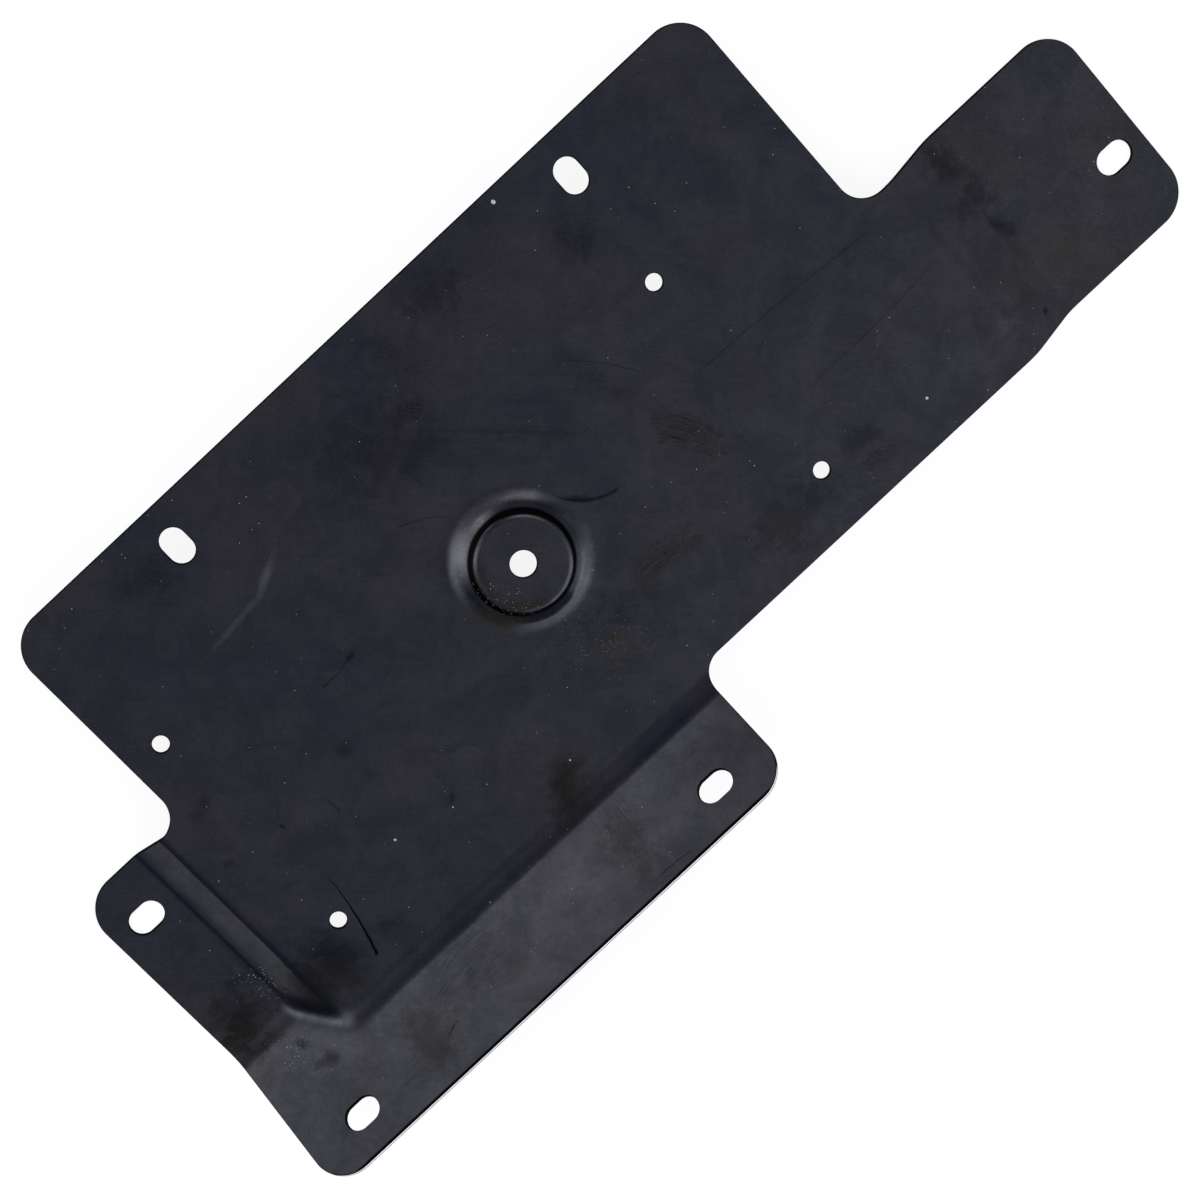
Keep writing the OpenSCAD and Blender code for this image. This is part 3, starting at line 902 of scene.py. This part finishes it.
def coat_gloss(tree, place, grain, marks):
    """How glossy the coat is: mottled and wiped, and less so at marks of (mask, share kept)."""
    mottle = noise(tree, place, 0.085, 6.0, 0.76, 0.6)
    values = {"Vector": place, "Angle": math.radians(45)}
    diagonal = node(tree, "ShaderNodeVectorRotate", values).outputs["Vector"]
    wiped = noise(tree, arrows(tree, "MULTIPLY", diagonal, (0.04, 0.9, 0.3)), 1.0, 4.0, 0.75)
    blotches = noise(tree, place, 0.42, 4.0, 0.72)
    gloss = product(
        tree,
        fade(tree, mottle, 0.36, 0.64, 1.04, 0.74),
        fade(tree, wiped, 0.35, 0.65, 0.92, 1.02),
        fade(tree, blotches, 0.3, 0.7, 0.92, 1.03),
        fade(tree, grain, 0.25, 0.75, 0.8, 1.05),
    )
    for mask, kept in marks:
        gloss = product(tree, gloss, maths(tree, "MULTIPLY_ADD", mask, kept - 1.0, 1.0))
    return gloss


def coat_bump(tree, place, grain):
    """The coat's slow waves and fine skin."""
    waves = maths(tree, "MULTIPLY", noise(tree, place, 0.03, 2.0, 0.5), WAVE_HEIGHT)
    skin = maths(tree, "MULTIPLY", grain, SKIN_HEIGHT)
    values = {"Height": maths(tree, "ADD", waves, skin), "Strength": 0.6, "Distance": 1.0}
    return node(tree, "ShaderNodeBump", values).outputs["Normal"]


def coat_material():
    """Satin black coat with handling smudges, wipe marks, scratches and dust, with painted shade in the
    boss's groove, on the cut edges and at the drawn corner, and with painted highlights on the boss's
    flare and the flange's outer edge.
    """
    material = bpy.data.materials.new("satin black coat")
    tree = empty_tree(material)
    metres = node(tree, "ShaderNodeTexCoord").outputs["Object"]
    place = arrows(tree, "MULTIPLY_ADD", metres, (1000.0,) * 3, BOSS)
    ragged = fade(tree, noise(tree, place, 0.17, 6.0, 0.68, 0.6), 0.3, 0.7)
    cloud = noise(tree, place, 0.022, 5.0, 0.6, 0.5)
    grain = noise(tree, place, 2.2, 3.0, 0.75)
    patches = noise(tree, place, 0.7, 4.0, 0.7)
    rim = node(tree, "ShaderNodeAttribute", attribute_name="rim").outputs["Fac"]

    streaked = all_marks(tree, place, ragged, STREAKED_MARKS, "Streaked")
    finger = all_marks(tree, place, ragged, FINGER_MARKS, "Ridged")
    dark = largest(tree, all_marks(tree, place, ragged, DARK_MARKS), streaked, finger)
    pale = all_marks(tree, place, ragged, PALE_MARKS)
    dusty = all_marks(tree, place, ragged, DUSTY_MARKS)
    # the boss's groove gets painted shade, and its flare a painted highlight
    groove_shade, lip, flare_highlight = boss_masks(tree, place, ragged)
    brown = all_marks(tree, place, ragged, BROWN_MARKS)
    brown = largest(tree, brown, maths(tree, "MULTIPLY", streaked, 0.7), lip)
    lines = all_scratches(tree, place)
    chips = all_chips(tree, place, ragged)
    worn = product(tree, fade(tree, rim, 0.3, 0.9), fade(tree, patches, 0.52, 0.7), 0.5)
    dust = specks(tree, place, cell=2.3, radius=0.15, amount=0.03)
    powder = specks(tree, place, cell=0.8, radius=0.18, amount=0.4)
    grains = largest(tree, dust, product(tree, powder, dusty))
    bare_and_glint_edge, edge_shade = edge_masks(tree, place, rim)

    tint = blend_colours(tree, fade(tree, cloud, 0.4, 0.6), BLUE_BLACK, GREY_BLACK)
    tint = blend_colours(tree, maths(tree, "MULTIPLY", brown, 0.85), tint, BROWN)
    # PALE also gives the painted highlight on the boss's flare
    tint = blend_colours(tree, largest(tree, pale, flare_highlight), tint, PALE)
    # smudges and scratches, and the painted shade in the boss's groove, darken toward near-black
    dark_dirt_and_shade = largest(tree, maths(tree, "MULTIPLY", dark, 0.5), lines, groove_shade)
    tint = blend_colours(tree, dark_dirt_and_shade, tint, SOOT_AND_SHADE)
    values = {0: tint, "Scale": fade(tree, grain, 0.25, 0.75, 0.6, 1.4)}
    tint = node(tree, "ShaderNodeVectorMath", values, operation="SCALE").outputs["Vector"]
    tint = blend_colours(tree, maths(tree, "MULTIPLY", grains, 0.85), tint, DUST)
    tint = blend_colours(tree, largest(tree, chips, worn), tint, BARE)
    # painted shade: the cut edges turned black; then the flange edge's bright strip, which is also a
    # painted highlight
    tint = blend_colours(tree, edge_shade, tint, SOOT_AND_SHADE)
    tint = blend_colours(tree, bare_and_glint_edge, tint, BRIGHT_STEEL_AND_GLINT)

    kept_gloss = (
        (bare_and_glint_edge, 0.0),
        (edge_shade, 0.05),
        (dark, 0.38),
        (lines, 0.03),
        (groove_shade, 0.15),
        (lip, 0.4),
        (brown, 0.72),
        (grains, 0.3),
        (chips, 0.2),
    )
    bump = coat_bump(tree, place, grain)
    shader = node(
        tree,
        "ShaderNodeBsdfPrincipled",
        {
            "Base Color": tint,
            "Roughness": maths(tree, "MULTIPLY_ADD", largest(tree, grains, dark), 0.25, 0.45),
            "Metallic": bare_and_glint_edge,
            "Specular IOR Level": 0.0,
            "Normal": bump,
            "Coat Weight": coat_gloss(tree, place, grain, kept_gloss),
            "Coat Roughness": 0.21,
            "Coat IOR": 1.5,
            "Coat Normal": bump,
        },
    )
    output = node(tree, "ShaderNodeOutputMaterial")
    tree.links.new(shader.outputs["BSDF"], output.inputs["Surface"])
    return material


bracket.data.materials.append(coat_material())


# The share of the lit floor, and so of its shadow, in what the camera sees of it.
FLOOR_SHADOW = 0.15
FLOOR_HALF = 6.0


def floor_material():
    """A pale studio floor that looks white to the camera and in the coat, with a faint shadow."""
    material = bpy.data.materials.new("white floor")
    tree = empty_tree(material)
    path = node(tree, "ShaderNodeLightPath")
    white = node(tree, "ShaderNodeEmission", {"Color": WHITE, "Strength": 1.05})
    mirrored = node(tree, "ShaderNodeEmission", {"Color": (0.96, 0.96, 1, 1), "Strength": 0.85})
    plain = node(tree, "ShaderNodeBsdfDiffuse", {"Color": (0.8, 0.8, 0.8, 1)})
    seen = blend_shaders(tree, FLOOR_SHADOW, white, plain)
    rest = blend_shaders(tree, path.outputs["Is Glossy Ray"], plain, mirrored)
    both = blend_shaders(tree, path.outputs["Is Camera Ray"], rest, seen)
    output = node(tree, "ShaderNodeOutputMaterial")
    tree.links.new(both.outputs[0], output.inputs["Surface"])
    return material


def add_floor():
    """A square floor at the level of the bracket's lowest point."""
    low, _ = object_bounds()
    mesh = bpy.data.meshes.new("floor")
    signs = ((-1, -1), (1, -1), (1, 1), (-1, 1))
    corners = [(x * FLOOR_HALF, y * FLOOR_HALF, low[2]) for x, y in signs]
    mesh.from_pydata(corners, [], [(0, 1, 2, 3)])
    floor = bpy.data.objects.new("floor", mesh)
    bpy.context.scene.collection.objects.link(floor)
    mesh.materials.append(floor_material())


# The studio's soft lights: each one's turn from +X toward +Y, its height and its spread, all in
# degrees, and its brightness.
SOFT_LIGHTS = [
    (96, 4, 11, 3.4),
    (124, 5, 11, 1.6),
    (150, 5, 11, 1.8),
    (97, 15, 7, 2.1),
    (95, 76, 13, 0.12),
    (120, 30, 9, 1.2),
    (142, 20, 11, 3.8),
    (275, 11, 11, 3.0),
    (305, 3, 11, 2.6),
    (305, 22, 11, 1.8),
    (350, 8, 11, 0.25),
    (345, 22, 11, 0.5),
    (337, 38, 9, 0.4),
    (325, 54, 9, 0.4),
    (36, 40, 11, 3.0),
    (54, 37, 9, 0.8),
    (135, 43, 9, 1.5),
    (153, 42, 11, 1.8),
    (180, 40, 11, 0.35),
    (252, 16, 12, 2.2),
    (252, 40, 11, 1.6),
    (285, 40, 11, 2.0),
    (303, 40, 10, 1.1),
    (22, 57, 11, 1.4),
    (158, 57, 11, 2.4),
    (248, 57, 11, 0.35),
    (292, 57, 11, 0.68),
    (240, 73, 11, 0.17),
    (300, 73, 11, 0.39),
]
LIGHT_COLOUR = (0.95, 0.965, 1.08, 1)
DARK_STUDIO = 0.02


def set_world():
    """The studio around the bracket: dark, with soft lights, and white to the camera."""
    world = bpy.data.worlds.new("studio")
    tree = empty_tree(world)
    direction = node(tree, "ShaderNodeTexCoord").outputs["Generated"]
    total = DARK_STUDIO
    for turn, height, spread, brightness in SOFT_LIGHTS:
        falloff = 1 / math.radians(spread) ** 2
        around, up = math.radians(turn), math.radians(height)
        middle = (math.cos(up) * math.cos(around), math.cos(up) * math.sin(around), math.sin(up))
        toward = arrows(tree, "DOT_PRODUCT", direction, middle)
        glow = maths(tree, "EXPONENT", maths(tree, "MULTIPLY_ADD", toward, falloff, -falloff))
        total = maths(tree, "MULTIPLY_ADD", glow, brightness, total)
    lit = node(tree, "ShaderNodeBackground", {"Color": LIGHT_COLOUR, "Strength": total})
    white = node(tree, "ShaderNodeBackground", {"Color": WHITE, "Strength": 1.0})
    camera = node(tree, "ShaderNodeLightPath").outputs["Is Camera Ray"]
    mixed = blend_shaders(tree, camera, lit, white)
    output = node(tree, "ShaderNodeOutputWorld")
    tree.links.new(mixed.outputs[0], output.inputs["Surface"])
    bpy.context.scene.world = world


CAMERA_PLACE = (0.017023, 0.1547, 0.743824)
CAMERA_TURN = (
    (0.732142, 0.68013, 0.037304),
    (-0.661602, 0.697033, 0.276455),
    (0.162023, -0.227085, 0.960302),
)


def add_camera():
    """The photograph's camera, as fitted to the bracket's outline and holes."""
    camera = bpy.data.cameras.new("camera")
    camera.sensor_width = 36.0
    camera.lens = 90.27
    camera.shift_x = -0.03765
    camera.shift_y = 0.13386
    camera.clip_end = 50.0
    eye = bpy.data.objects.new("camera", camera)
    eye.matrix_world = Matrix.Translation(CAMERA_PLACE) @ Matrix(CAMERA_TURN).to_4x4()
    bpy.context.scene.collection.objects.link(eye)
    bpy.context.scene.camera = eye


add_floor()
set_world()
add_camera()
bpy.context.scene.view_settings.view_transform = "Standard"
